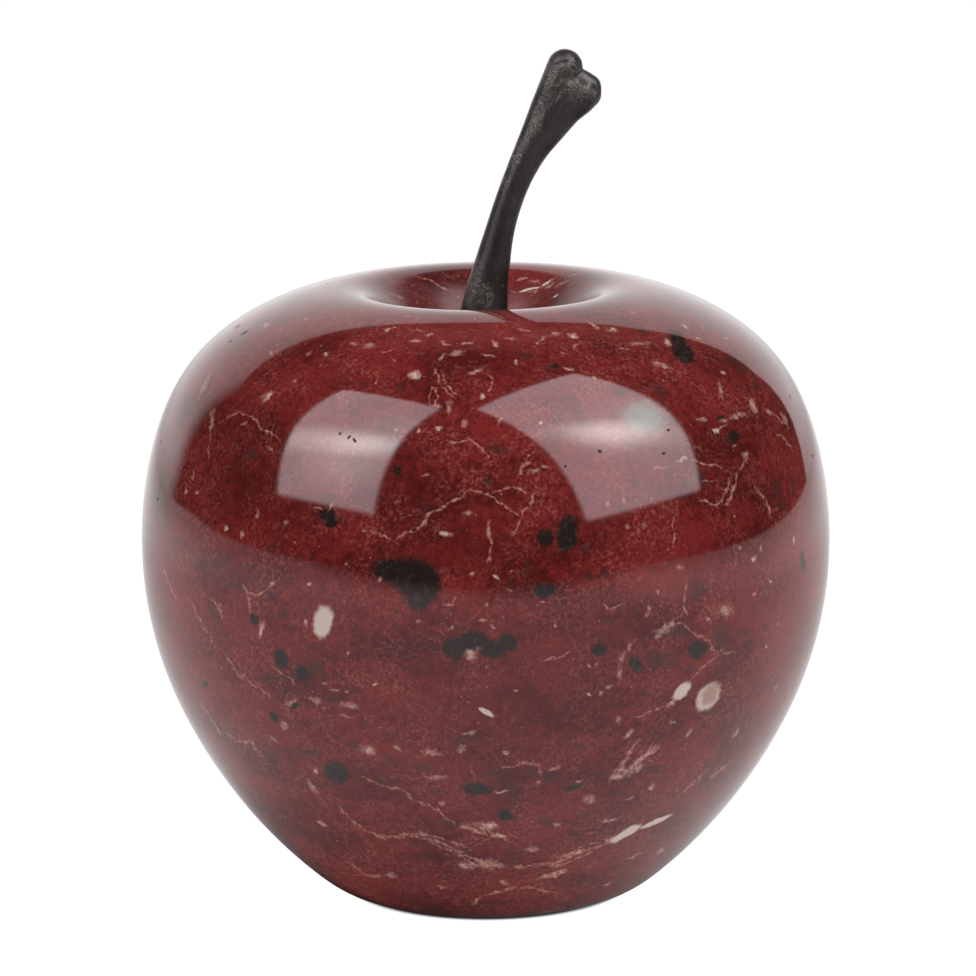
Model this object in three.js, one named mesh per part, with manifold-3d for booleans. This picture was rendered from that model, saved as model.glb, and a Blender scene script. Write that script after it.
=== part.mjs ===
// A stone apple ornament: a solid apple turned and polished from red fossil marble, and a dark cast
// metal stem glued into a blind hole drilled at the bottom of the apple's dimple.
// Millimetres, +Z up. The origin is the centre of the flat foot, and the stem leans towards +X.

import * as THREE from "three";
import { mergeVertices } from "three/addons/utils/BufferGeometryUtils.js";
import Module from "manifold-3d";

const wasm = await Module();
wasm.setup();

// ---- Driving dimensions ----

// The apple's outline as [radius, height] control points of one smooth curve, which runs from the
// middle of the foot round the side, over the shoulder and down to the edge of the drilled hole.
// The curve is widest at 76 mm across and highest at 67.5 mm.
const HOLE_RADIUS = 3;
const FOOT = [[0, 0], [6, 0], [12, 0], [16.5, 0]];
const SIDE = [[20.5, 3], [28, 10.5], [35.5, 23], [38.5, 36], [37.5, 49], [33.5, 59]];
const SHOULDER = [[26.5, 64.5], [19.5, 67.1], [14.7, 67.8]];
const DIMPLE = [[11.3, 66.5], [8.4, 63.9], [5.6, 60.7], [HOLE_RADIUS, 59.4]];

const HOLE_DEPTH = 13;
const DRILL_POINT_ANGLE = 118; // the included angle of the drill's tip, in degrees
const CLEARANCE = 0.3; // the gap between pieces that touch

const PEG_RADIUS = 2; // the stem's round tail, inside the hole
const PEG_CHAMFER = 0.4;
const PEG_END_GAP = 1; // from the peg's end to the bottom of the hole's straight wall
const PEG_OVERLAP = 3; // how far the peg runs up into the stem
const GLUE_THICKNESS = 0.4;

// Cross-sections of the stem from its foot to its end: [x, z, half width, half depth].
// The stem bends only in the XZ plane. It narrows to a 3 mm neck and flares into a flattened knob.
const STEM_SECTIONS = [
  [0, 59.9, 3.4, 3.4],
  [0, 61, 3.05, 3],
  [-0.1, 62.8, 2.85, 2.7],
  [0.15, 65.5, 2.5, 2.35],
  [0.55, 68, 2.2, 2.05],
  [1.1, 70.5, 1.9, 1.8],
  [1.8, 73.5, 1.62, 1.55],
  [2.7, 76.5, 1.52, 1.45],
  [3.85, 79.5, 1.56, 1.45],
  [5.3, 82.5, 1.82, 1.55],
  [6.8, 85, 2.3, 1.75],
  [8.05, 87, 2.7, 2],
  [9.05, 88.5, 3.05, 2.15],
  [9.7, 89.5, 3.2, 2.2],
  [10.2, 90.3, 2.7, 1.8],
  [10.6, 90.9, 1.5, 1],
];
// The knob ends in two rounded lobes: their centres as [x, z], radii, and half depths.
const TOP_LOBE = { at: [9.3, 91.5], radius: 2.15, depth: 1.9 };
const SIDE_LOBE = { at: [11.25, 89], radius: 1.85, depth: 1.9 };

const BODY_SEGMENTS = 56;
const BODY_STEPS = 3; // outline points for each control point
const STEM_SEGMENTS = 20;
const LOBE_SEGMENTS = [18, 12];

const MARBLE = { color: 0x7a1f22, roughness: 0.1, metalness: 0 };
const DARK_METAL = { color: 0x2b2323, roughness: 0.45, metalness: 0.8 };
const CURED_GLUE = { color: 0xcdb98a, roughness: 0.35, metalness: 0 };

// ---- Shape functions ----

// A uniform cubic B-spline of [radius, height] points that starts and ends on its end controls.
function smoothOutline(controls, steps) {
  const points = controls.map((pair) => new THREE.Vector2(...pair));
  const before = points[0].clone().multiplyScalar(2).sub(points[1]);
  const after = points.at(-1).clone().multiplyScalar(2).sub(points.at(-2));
  const run = [before, ...points, after];
  const outline = [];
  for (let i = 0; i + 3 < run.length; i += 1) {
    for (let step = 0; step < steps; step += 1) {
      outline.push(splinePoint(run.slice(i, i + 4), step / steps));
    }
  }
  return [...outline, points.at(-1)];
}

function splinePoint(controls, t) {
  const weights = [
    (1 - t) ** 3,
    3 * t ** 3 - 6 * t ** 2 + 4,
    -3 * t ** 3 + 3 * t ** 2 + 3 * t + 1,
    t ** 3,
  ];
  const point = new THREE.Vector2();
  controls.forEach((control, i) => point.addScaledVector(control, weights[i] / 6));
  return point;
}

// Turns a closed profile of [radius, height] points about the Z axis.
function turned(profile, segments) {
  const points = profile.map(([radius, height]) => new THREE.Vector2(radius, height));
  return new THREE.LatheGeometry(points, segments).rotateX(Math.PI / 2);
}

function solidFrom(geometry) {
  const bare = new THREE.BufferGeometry();
  bare.setAttribute("position", geometry.getAttribute("position"));
  bare.setIndex(geometry.index);
  const merged = mergeVertices(bare, 1e-4);
  return new wasm.Manifold(new wasm.Mesh({
    numProp: 3,
    vertProperties: merged.getAttribute("position").array,
    triVerts: new Uint32Array(merged.index.array),
  }));
}

function geometryFrom(solid) {
  const { vertProperties, triVerts } = solid.getMesh();
  const geometry = new THREE.BufferGeometry();
  geometry.setAttribute("position", new THREE.BufferAttribute(vertProperties, 3));
  geometry.setIndex(new THREE.BufferAttribute(triVerts, 1));
  geometry.computeVertexNormals();
  return geometry;
}

function namedMesh(name, geometry, finish) {
  const mesh = new THREE.Mesh(geometry, new THREE.MeshStandardMaterial(finish));
  mesh.name = name;
  return mesh;
}

// ---- The drilled hole ----

const holeTop = DIMPLE.at(-1)[1];
const holeBottom = holeTop - HOLE_DEPTH;
const pegBottom = holeBottom + PEG_END_GAP;
const drillSlope = 1 / Math.tan(THREE.MathUtils.degToRad(DRILL_POINT_ANGLE / 2));

// The height of the drill's cone at a radius: it meets the hole's wall at holeBottom.
function coneHeight(radius) {
  return holeBottom - (HOLE_RADIUS - radius) * drillSlope;
}

// ---- Pieces ----

function stoneBody() {
  const skin = smoothOutline([...FOOT, ...SIDE, ...SHOULDER, ...DIMPLE], BODY_STEPS);
  const hole = [[HOLE_RADIUS, holeBottom], [0, coneHeight(0)]];
  return turned([...skin.map((point) => point.toArray()), ...hole], BODY_SEGMENTS);
}

// A cup of cured glue that fills the hole round the peg and below it.
function stemAdhesive() {
  const outer = HOLE_RADIUS - CLEARANCE;
  const inner = outer - GLUE_THICKNESS;
  const lift = CLEARANCE * Math.hypot(1, drillSlope);
  const rim = holeTop - CLEARANCE;
  const floor = pegBottom - CLEARANCE;
  const profile = [
    [0, coneHeight(0) + lift],
    [outer, coneHeight(outer) + lift],
    [outer, rim],
    [inner, rim],
    [inner, floor],
    [0, floor],
  ];
  return turned(profile, STEM_SEGMENTS);
}

function stemPeg() {
  const top = STEM_SECTIONS[0][1] + PEG_OVERLAP;
  const profile = [
    [0, pegBottom],
    [PEG_RADIUS - PEG_CHAMFER, pegBottom],
    [PEG_RADIUS, pegBottom + PEG_CHAMFER],
    [PEG_RADIUS, top],
    [0, top],
  ];
  return turned(profile, STEM_SEGMENTS);
}

// The stem above the stone: a round bar of unit radius, one unit of height to a cross-section,
// whose points are moved onto the stem's curved line and out to its half widths and depths.
function stemShank() {
  const last = STEM_SECTIONS.length - 1;
  const sides = STEM_SECTIONS.map((_, height) => [1, height]);
  const bar = turned([[0, 0], ...sides, [0, last]], STEM_SEGMENTS);
  const line = new THREE.CatmullRomCurve3(STEM_SECTIONS.map(([x, z]) => new THREE.Vector3(x, 0, z)));
  const points = bar.getAttribute("position");
  for (let i = 0; i < points.count; i += 1) {
    const height = Math.round(points.getZ(i));
    const [x, z, halfWidth, halfDepth] = STEM_SECTIONS[height];
    const along = line.getTangent(height / last);
    const across = points.getX(i) * halfWidth;
    points.setXYZ(i, x + along.z * across, points.getY(i) * halfDepth, z - along.x * across);
  }
  return bar;
}

function lobe({ at: [x, z], radius, depth }) {
  return new THREE.SphereGeometry(1, ...LOBE_SEGMENTS).scale(radius, depth, radius).translate(x, 0, z);
}

function stem() {
  const [peg, ...rest] = [stemPeg(), stemShank(), lobe(TOP_LOBE), lobe(SIDE_LOBE)].map(solidFrom);
  return geometryFrom(rest.reduce((whole, piece) => whole.add(piece), peg));
}

const apple = new THREE.Group();
apple.add(
  namedMesh("stone_body", stoneBody(), MARBLE),
  namedMesh("stem", stem(), DARK_METAL),
  namedMesh("stem_adhesive", stemAdhesive(), CURED_GLUE),
);

export default apple;
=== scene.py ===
# A stone apple ornament: an apple turned and polished from red fossil marble, with a dark cast metal stem.
# Metres, +Z up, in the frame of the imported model. The stem leans towards +X, and the front is towards -Y.

import math

import bmesh
import bpy
from mathutils import Matrix, Quaternion, Vector, noise
from mathutils.bvhtree import BVHTree


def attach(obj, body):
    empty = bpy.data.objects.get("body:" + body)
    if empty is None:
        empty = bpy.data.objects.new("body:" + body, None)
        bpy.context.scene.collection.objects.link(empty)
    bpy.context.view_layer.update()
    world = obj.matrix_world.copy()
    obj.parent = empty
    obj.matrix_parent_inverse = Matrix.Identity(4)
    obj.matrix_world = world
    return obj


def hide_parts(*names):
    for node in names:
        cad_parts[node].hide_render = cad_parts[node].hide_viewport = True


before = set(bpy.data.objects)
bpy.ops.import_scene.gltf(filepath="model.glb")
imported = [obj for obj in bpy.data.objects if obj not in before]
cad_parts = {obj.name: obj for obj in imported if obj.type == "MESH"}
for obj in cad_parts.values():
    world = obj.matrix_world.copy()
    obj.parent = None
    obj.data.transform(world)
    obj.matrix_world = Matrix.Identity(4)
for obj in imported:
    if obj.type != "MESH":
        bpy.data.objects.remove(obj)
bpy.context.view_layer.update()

MM = 0.001
DEGREE = math.pi / 180

# ---- The apple's outline, in millimetres ----

# Control points [radius, height] of the smooth outline, from the middle of the foot to the drilled hole.
HOLE_RADIUS = 3
FOOT = [(0, 0), (6, 0), (12, 0), (16.5, 0)]
SIDE = [(20.5, 3), (28, 10.5), (35.5, 23), (38.5, 36), (37.5, 49), (33.5, 59)]
SHOULDER = [(26.5, 64.5), (19.5, 67.1), (14.7, 67.8)]
DIMPLE = [(11.3, 66.5), (8.4, 63.9), (5.6, 60.7), (HOLE_RADIUS, 59.4)]
HOLE_BOTTOM = 46.4
HOLE_TIP = 44.6  # where the drill's cone comes to a point
TURNED_SIDES = 48
TURNED_LEVELS = 3

# ---- The stem, in millimetres ----

# Cross-sections from the foot to the knob: x, z, half width, half depth.
STEM_SECTIONS = [
    (0, 59.9, 3.4, 3.4),
    (0, 61, 3.05, 3),
    (-0.1, 62.8, 2.85, 2.7),
    (0.15, 65.5, 2.5, 2.35),
    (0.55, 68, 2.2, 2.05),
    (1.1, 70.5, 1.9, 1.8),
    (1.8, 73.5, 1.62, 1.55),
    (2.7, 76.5, 1.52, 1.45),
    (3.85, 79.5, 1.56, 1.45),
    (5.3, 82.5, 1.82, 1.55),
    (6.8, 85, 2.3, 1.75),
    (8.05, 87, 2.7, 1.75),
    (9.0, 88.5, 3.0, 1.75),
    (9.6, 89.5, 3.1, 1.7),
    (10.1, 90.2, 2.5, 1.5),
    (10.4, 90.7, 1.4, 1),
]
# The two rolled edges that the knob is cast with, as rows of balls: x, y, z, radius.
LEFT_ROLL = [
    (4.5, 0, 81.8, 1.15), (5.5, 0, 84.3, 1.33), (6.7, 0, 87, 1.52), (8.03, -0.1, 89.6, 1.78),
    (9.05, 0, 91.6, 1.96),
]
RIGHT_ROLL = [
    (7.6, 0, 84.8, 1.1), (9.25, 0, 86.4, 1.3), (10.7, 0, 87.85, 1.55), (11.28, 0, 88.7, 1.76),
    (11.6, 0, 89.36, 1.42), (10.75, 0, 90, 1.35),
]
BALLS_BETWEEN = 5
# Dents and raised places in the knob, as they show from the front: right of the aim point and above it,
# half width, half height, turn in degrees, and how far the surface moves out, in millimetres.
TOOL_MARKS = [
    (8.3, 46.9, 1.3, 0.5, 12, -0.18),
    (7.2, 46.2, 0.5, 1.1, -38, -0.12),
    (9.45, 46.6, 0.85, 0.32, -50, 0.24),
    (10, 47.1, 0.6, 0.28, -50, -0.16),
    (8.9, 45.2, 1.1, 0.9, 0, -0.2),
    (7.1, 44.6, 0.42, 2.1, -27, 0.14),
    (7.85, 43.7, 0.35, 1.9, -27, -0.16),
    (11.7, 43.9, 0.6, 1.1, 28, -0.2),
]
TOOLED_FROM = 40  # all the tool marks are higher above the aim point than this
UNEVEN_PER_MM = 0.9  # slight waves all over the casting, to a millimetre
UNEVEN_HEIGHT = 0.015

PEG_RADIUS = 2
PEG_BOTTOM = 47.4
PEG_TOP = 62.9
STEM_SIDES = 32
SECTIONS_BETWEEN = 3
STEM_VOXEL = 0.11
SOFTENING_ROUNDS = 16

# ---- The view from the front ----

CAMERA_DISTANCE = 0.6
CAMERA_RISE = 11.916 * DEGREE
CAMERA_ROLL = -0.5 * DEGREE
CAMERA_AIM = Vector((0.0003, 0, 0.04493))
CAMERA_LENS = 200.54
CAMERA_SENSOR = 36
VIEW_SIZE = 976  # the front view's width and height in pixels
PIXEL = CAMERA_DISTANCE * CAMERA_SENSOR / CAMERA_LENS / VIEW_SIZE  # at the aim point, in metres


def front_eye():
    """The eye point, and the turn whose X points right as seen from it, Y up and Z back towards it."""
    back = Vector((0, -math.cos(CAMERA_RISE), math.sin(CAMERA_RISE)))
    level = (-back).to_track_quat("-Z", "Y")
    return CAMERA_AIM + back * CAMERA_DISTANCE, level @ Quaternion((0, 0, 1), CAMERA_ROLL)


def set_camera():
    data = bpy.data.cameras.new("camera")
    data.lens = CAMERA_LENS
    data.sensor_width = CAMERA_SENSOR
    data.clip_start = 0.01
    data.clip_end = 10
    camera = bpy.data.objects.new("camera", data)
    bpy.context.scene.collection.objects.link(camera)
    camera.rotation_mode = "QUATERNION"
    camera.location, camera.rotation_quaternion = front_eye()
    bpy.context.scene.camera = camera


# ---- Mesh helpers ----

def piece_from(name, shape, material=None):
    """Turns a bmesh into an object at the origin, with its faces pointing out."""
    bmesh.ops.recalc_face_normals(shape, faces=shape.faces)
    mesh = bpy.data.meshes.new(name)
    shape.to_mesh(mesh)
    shape.free()
    for face in mesh.polygons:
        face.use_smooth = True
    if material:
        mesh.materials.append(material)
    piece = bpy.data.objects.new(name, mesh)
    bpy.context.scene.collection.objects.link(piece)
    return piece


def with_modifiers_applied(piece):
    """Replaces a piece's mesh by what its modifiers make of it."""
    depsgraph = bpy.context.evaluated_depsgraph_get()
    made = bpy.data.meshes.new_from_object(piece.evaluated_get(depsgraph))
    piece.modifiers.clear()
    piece.data = made
    return piece


# ---- Node helpers ----

def step(tree, kind, inputs=(), **settings):
    """Adds a node, sets its settings, and sets or links its inputs by name or number."""
    node = tree.nodes.new("ShaderNode" + kind)
    for name, value in settings.items():
        setattr(node, name, value)
    for key, value in dict(inputs).items():
        if isinstance(value, bpy.types.NodeSocket):
            tree.links.new(value, node.inputs[key])
        else:
            node.inputs[key].default_value = value
    return node


def new_material(name):
    """A material with only its output, and the output's surface socket."""
    material = bpy.data.materials.new(name)
    material.use_nodes = True
    material.node_tree.nodes.clear()
    output = step(material.node_tree, "OutputMaterial")
    return material, material.node_tree, output.inputs["Surface"]


# ---- The stone ----

def turned_radius(radius):
    """Widens a ring of control points so that its smoothed circle has this radius."""
    return radius * 3 / (2 + math.cos(2 * math.pi / TURNED_SIDES))


def stone_body():
    outline = [*FOOT, *SIDE, *SHOULDER, *DIMPLE, (HOLE_RADIUS, HOLE_BOTTOM), (0, HOLE_TIP)]
    shape = bmesh.new()
    crease = shape.edges.layers.float.new("crease_edge")
    points = [shape.verts.new((turned_radius(r) * MM, 0, z * MM)) for r, z in outline]
    for first, second in zip(points, points[1:]):
        shape.edges.new((first, second))
    profile = [*shape.verts, *shape.edges]
    bmesh.ops.spin(shape, geom=profile, cent=(0, 0, 0), axis=(0, 0, 1), dvec=(0, 0, 0),
                   angle=2 * math.pi, steps=TURNED_SIDES, use_merge=True, use_duplicate=False)
    bmesh.ops.remove_doubles(shape, verts=shape.verts, dist=0.001 * MM)
    for edge in shape.edges:
        heights = [vert.co.z / MM for vert in edge.verts]
        radii = [vert.co.xy.length / MM for vert in edge.verts]
        on_hole = all(abs(r - turned_radius(HOLE_RADIUS)) < 0.01 for r in radii)
        level = abs(heights[0] - heights[1]) < 0.01
        if on_hole and level:
            edge[crease] = 1
    body = piece_from("polished_stone_body", shape)
    smoothing = body.modifiers.new("turned_smooth", "SUBSURF")
    smoothing.levels = smoothing.render_levels = TURNED_LEVELS
    return with_modifiers_applied(body)


# ---- The stem ----

def between(rows, steps):
    """The rows with others put between them, on a smooth curve through them all."""
    padded = [rows[0], *rows, rows[-1]]
    finer = []
    for before, start, end, after in zip(padded, padded[1:], padded[2:], padded[3:]):
        for index in range(steps):
            t = index / steps
            finer.append([
                (2 * b + (c - a) * t + (2 * a - 5 * b + 4 * c - d) * t ** 2
                 + (3 * b - a - 3 * c + d) * t ** 3) / 2
                for a, b, c, d in zip(before, start, end, after)])
    return [*finer, rows[-1]]


def stem_rings(shape):
    """A bar through all the cross-sections, closed at both ends."""
    sections = between(STEM_SECTIONS, SECTIONS_BETWEEN)
    rim = bmesh.ops.create_circle(shape, cap_ends=False, segments=STEM_SIDES, radius=1)["verts"]
    edges = list({edge for vert in rim for edge in vert.link_edges})
    bottom = edges
    placed = Matrix.Identity(4)
    for index, (x, z, half_width, half_depth) in enumerate(sections):
        before = sections[max(index - 1, 0)]
        after = sections[min(index + 1, len(sections) - 1)]
        lean = math.atan2(after[0] - before[0], after[1] - before[1])
        place = (Matrix.Translation(Vector((x, 0, z)) * MM)
                 @ Matrix.Rotation(lean, 4, "Y")
                 @ Matrix.Diagonal((half_width * MM, half_depth * MM, 1, 1)))
        if index:
            made = bmesh.ops.extrude_edge_only(shape, edges=edges)["geom"]
            rim = [item for item in made if isinstance(item, bmesh.types.BMVert)]
            edges = [item for item in made if isinstance(item, bmesh.types.BMEdge)]
        bmesh.ops.transform(shape, matrix=place @ placed.inverted(), verts=rim)
        placed = place
    bmesh.ops.edgeloop_fill(shape, edges=bottom)
    bmesh.ops.edgeloop_fill(shape, edges=edges)


def rolled_edge(shape, balls):
    """A thick round edge: balls close together, which the remesh casts in one."""
    for first, second in zip(balls, balls[1:]):
        for index in range(BALLS_BETWEEN + 1):
            *middle, radius = Vector(first).lerp(Vector(second), index / BALLS_BETWEEN)
            place = Matrix.Translation(Vector(middle) * MM)
            bmesh.ops.create_uvsphere(shape, u_segments=24, v_segments=16, radius=radius * MM, matrix=place)


def stem_peg(shape):
    height = (PEG_TOP - PEG_BOTTOM) * MM
    middle = Matrix.Translation((0, 0, PEG_BOTTOM * MM + height / 2))
    bmesh.ops.create_cone(shape, cap_ends=True, segments=STEM_SIDES, radius1=PEG_RADIUS * MM,
                          radius2=PEG_RADIUS * MM, depth=height, matrix=middle)


def seen_from_front(point):
    """Where a point in metres shows from the front: millimetres right of the aim point and above it."""
    eye, face = front_eye()
    across, up, back = face.inverted() @ (point - eye)
    return across * CAMERA_DISTANCE / -back / MM, up * CAMERA_DISTANCE / -back / MM


def tooled(stem):
    """Moves the stem's surface out or in at its tool marks, and leaves it slightly uneven all over."""
    towards_front = front_eye()[1] @ Vector((0, 0, 1))
    mesh = stem.data
    normals = [normal.vector.copy() for normal in mesh.vertex_normals]
    for vert, normal in zip(mesh.vertices, normals):
        facing = normal.dot(towards_front)
        right, up = seen_from_front(vert.co)
        rise = 0
        if facing > 0 and up > TOOLED_FROM:
            for mark_right, mark_up, half_width, half_height, angle, height in TOOL_MARKS:
                turn = math.radians(angle)
                across = (right - mark_right) * math.cos(turn) + (up - mark_up) * math.sin(turn)
                along = (up - mark_up) * math.cos(turn) - (right - mark_right) * math.sin(turn)
                away = (across / half_width) ** 2 + (along / half_height) ** 2
                if away < 1:
                    rise += height * (1 - away) ** 2 * min(1, 2 * facing)
        uneven = UNEVEN_HEIGHT * noise.noise(vert.co / MM * UNEVEN_PER_MM)
        vert.co += normal * (rise + uneven) * MM
    return stem


def cast_stem():
    shape = bmesh.new()
    stem_rings(shape)
    for balls in (LEFT_ROLL, RIGHT_ROLL):
        rolled_edge(shape, balls)
    stem_peg(shape)
    stem = piece_from("cast_stem", shape)
    joined = stem.modifiers.new("cast_in_one", "REMESH")
    joined.mode = "VOXEL"
    joined.voxel_size = STEM_VOXEL * MM
    joined.use_smooth_shade = True
    softened = stem.modifiers.new("softened", "SMOOTH")
    softened.factor = 0.5
    softened.iterations = SOFTENING_ROUNDS
    return tooled(with_modifiers_applied(stem))


# ---- Patterns ----

FAR = 1000  # more than any distance to a mark


def place_in_mm(tree):
    """The place on the piece that is being coloured, in millimetres."""
    metres = step(tree, "TexCoord").outputs["Object"]
    return step(tree, "VectorMath", {0: metres, "Scale": 1 / MM}, operation="SCALE").outputs[0]


def noise_value(tree, place, per_mm, detail=3, roughness=0.5, distortion=0):
    """Cloudy noise around 0.5, with this many features to a millimetre."""
    return step(tree, "TexNoise", {"Vector": place, "Scale": per_mm, "Detail": detail,
                                   "Roughness": roughness, "Distortion": distortion}).outputs[0]


def ramp(tree, value, low, high, start, end):
    """Goes smoothly from start to end as the value goes from low to high, and stays level outside them."""
    return step(tree, "MapRange", {"Value": value, "From Min": low, "From Max": high, "To Min": start,
                                   "To Max": end}, interpolation_type="SMOOTHSTEP").outputs[0]


def soft_step(tree, value, low, high):
    """0 below low, 1 above high, and smooth between them. With low above high it falls instead."""
    return ramp(tree, value, low, high, 0, 1)


def times(tree, first, second):
    return step(tree, "Math", {0: first, 1: second}, operation="MULTIPLY").outputs[0]


def lesser(tree, first, second):
    return step(tree, "Math", {0: first, 1: second}, operation="MINIMUM").outputs[0]


def tinted(tree, colour, over, amount):
    """The first colour with this amount of the second one over it."""
    return step(tree, "Mix", {0: amount, 6: colour, 7: over}, data_type="RGBA").outputs[2]


def stretched(tree, place, scale, turn=(0, 0, 0)):
    angles = [angle * DEGREE for angle in turn]
    return step(tree, "Mapping", {"Vector": place, "Rotation": angles, "Scale": scale}).outputs[0]


def wobbled(tree, place, per_mm, amount):
    """Places moved about by noise, which makes the edges of a pattern irregular."""
    cloud = step(tree, "TexNoise", {"Vector": place, "Scale": per_mm, "Detail": 2}).outputs["Color"]
    offset = step(tree, "VectorMath", {0: cloud, 1: (0.5, 0.5, 0.5)}, operation="SUBTRACT").outputs[0]
    shift = step(tree, "VectorMath", {0: offset, "Scale": amount}, operation="SCALE").outputs[0]
    return step(tree, "VectorMath", {0: place, 1: shift}, operation="ADD").outputs[0]


def strewn(tree, place, per_mm, radius, share):
    """The distance to the nearest of some marks strewn by chance: 0 at its middle and 1 on its edge.
    A share of the cells hold one mark each, of any size up to the radius."""
    cells = step(tree, "TexVoronoi", {"Vector": place, "Scale": per_mm})
    chance = step(tree, "SeparateColor", {0: cells.outputs["Color"]}).outputs[0]
    size = step(tree, "MapRange", {"Value": chance, "From Min": 1 - share, "To Min": 1 / FAR,
                                   "To Max": radius * per_mm}).outputs[0]
    return step(tree, "Math", {0: cells.outputs["Distance"], 1: size}, operation="DIVIDE").outputs[0]


def wandering(tree, place, per_mm, width):
    """The distance to the nearest of some wandering lines: 0 in its middle and 1 on its edge. The lines
    stop and start again, and no more than half of their length shows."""
    cloud = noise_value(tree, place, per_mm, detail=4, roughness=0.55)
    level = step(tree, "Math", {0: cloud, 1: 0.5}, operation="SUBTRACT").outputs[0]
    away = step(tree, "Math", {0: level}, operation="ABSOLUTE").outputs[0]
    gap = ramp(tree, noise_value(tree, place, 2.3 * per_mm, detail=1), 0.47, 0.56, 3, 0)
    return step(tree, "Math", {0: away, 1: 1 / width, 2: gap}, operation="MULTIPLY_ADD").outputs[0]


# ---- The marks in the stone's front ----

# Each mark is written in pixels, as it shows in the front view: how far its middle is from the view's
# left and top edges, its width and its height, and its turn in degrees if it has one.
DARK_SHELLS = [
    (425.5, 582, 33, 42, 20), (394, 571.5, 45, 27, -6), (414.5, 578.5, 51, 42, -20), (419, 597, 29, 29),
    (455.5, 647.5, 27, 23.5, 20), (473.5, 640, 31, 20, 10), (493.5, 649.5, 25.5, 18),
    (508, 643, 19, 19, 30), (567.5, 534, 22.5, 38, -10), (545, 538.5, 17, 20), (683.5, 352, 21.5, 29, 35),
    (677.5, 338.5, 16, 17), (327.5, 515, 21, 14.5, -15), (331.5, 521.5, 12, 14.5, 20), (545, 591, 25, 16),
    (281, 659, 14, 24, 8), (302, 673, 16, 16), (337, 773, 30, 24, -25), (478, 789, 32, 14),
    (506, 815, 16, 13), (697.5, 649.5, 21.5, 18, 35), (636, 664, 13, 18, 20), (255, 619, 9, 14, 20),
    (274, 717, 9, 14, 30), (734, 436, 12, 12), (721, 418, 10, 8), (600, 650, 18, 12, 20),
    (295, 706, 12, 6, 20), (803, 561, 7, 20, 8), (572, 788, 18, 6, 20), (205, 684, 8, 8), (397, 471, 7, 7),
    (555, 365, 7, 5),
]

DARK_CLOUDS = [
    (326.5, 500, 21, 13.5), (525, 355.5, 11.5, 6.2), (554, 367, 10.5, 6.7), (641.5, 330.5, 13.7, 6.2, -20),
    (781.5, 504.5, 15.7, 8.6, -20), (793.5, 484.5, 7.1, 15.7), (775.5, 491.5, 8.6, 21.4),
    (740, 368.5, 15.7, 8.6, -40), (728.5, 440, 8.6, 12.9), (660, 390, 21.4, 12.9, -30),
    (315, 669, 21.5, 20, -20), (660, 662, 36, 22.5), (677.5, 631, 23.5, 17, -10), (721, 636.5, 16, 35, 5),
    (354, 745, 15, 9, -30), (331, 698, 16, 10, -15), (271, 598, 17, 10), (282, 614, 13, 10),
    (215, 614, 12, 30, 30), (271, 551, 14, 7), (268, 678, 15, 9), (307, 753, 28, 7, -5),
    (508, 787, 26, 8, 5), (424, 768, 15, 9, -10), (468, 738, 34, 7, 5), (529, 772, 18, 11),
    (548, 777, 20, 10), (492, 774, 16, 8), (547, 822, 22, 10), (446, 824, 13, 8, -10), (585, 814, 18, 6, 5),
    (528, 570, 8, 18), (586, 548, 9, 10), (604, 571, 9, 15, 10), (588, 576, 16, 9), (696.5, 589.5, 16, 27),
    (691, 668, 9, 9), (504, 693, 7, 7), (518, 730, 7, 9), (607, 620, 13, 6), (498, 580, 11, 6, -10),
    (510, 584, 9, 9), (515, 597, 12, 6), (578, 746, 18, 9), (766, 626, 7, 9), (711, 712, 15, 11, 20),
    (672, 331, 13, 6, -30), (661, 391, 13, 9), (700, 476, 14, 22), (499, 450, 24, 13, -15),
    (620, 391, 15, 8), (756, 384, 8, 14), (777, 487, 8, 18), (734, 362, 18, 11, -35), (525, 356, 16, 6),
    (594, 336, 6, 3), (489, 482, 15, 8), (400, 387, 7, 9), (369, 326, 11, 5), (426, 508, 11, 8, -20),
    (363, 384, 9, 5), (205, 412, 10, 7), (252, 454, 15, 11), (320, 646, 12, 7), (390, 758, 16, 7, -20),
    (273, 755, 10, 8), (435, 792, 12, 7), (643, 694, 12, 8), (602, 279, 10, 3, -10), (437, 313, 8, 3),
]

CREAM_SHELLS = [
    (323, 622, 19, 32.5, -12), (708, 696.5, 32.5, 21, 55), (682, 691, 23.5, 12, 48),
    (625.5, 834, 35.5, 8, 28), (656.5, 821.5, 37, 4.5, 20), (631, 830.5, 20, 9, 27),
    (486, 712.5, 18, 5.5, -27), (529.5, 289.5, 22.5, 2.5, 12), (546, 283, 12, 2.4, 32),
    (556, 296, 7, 2, 40),
]

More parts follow.
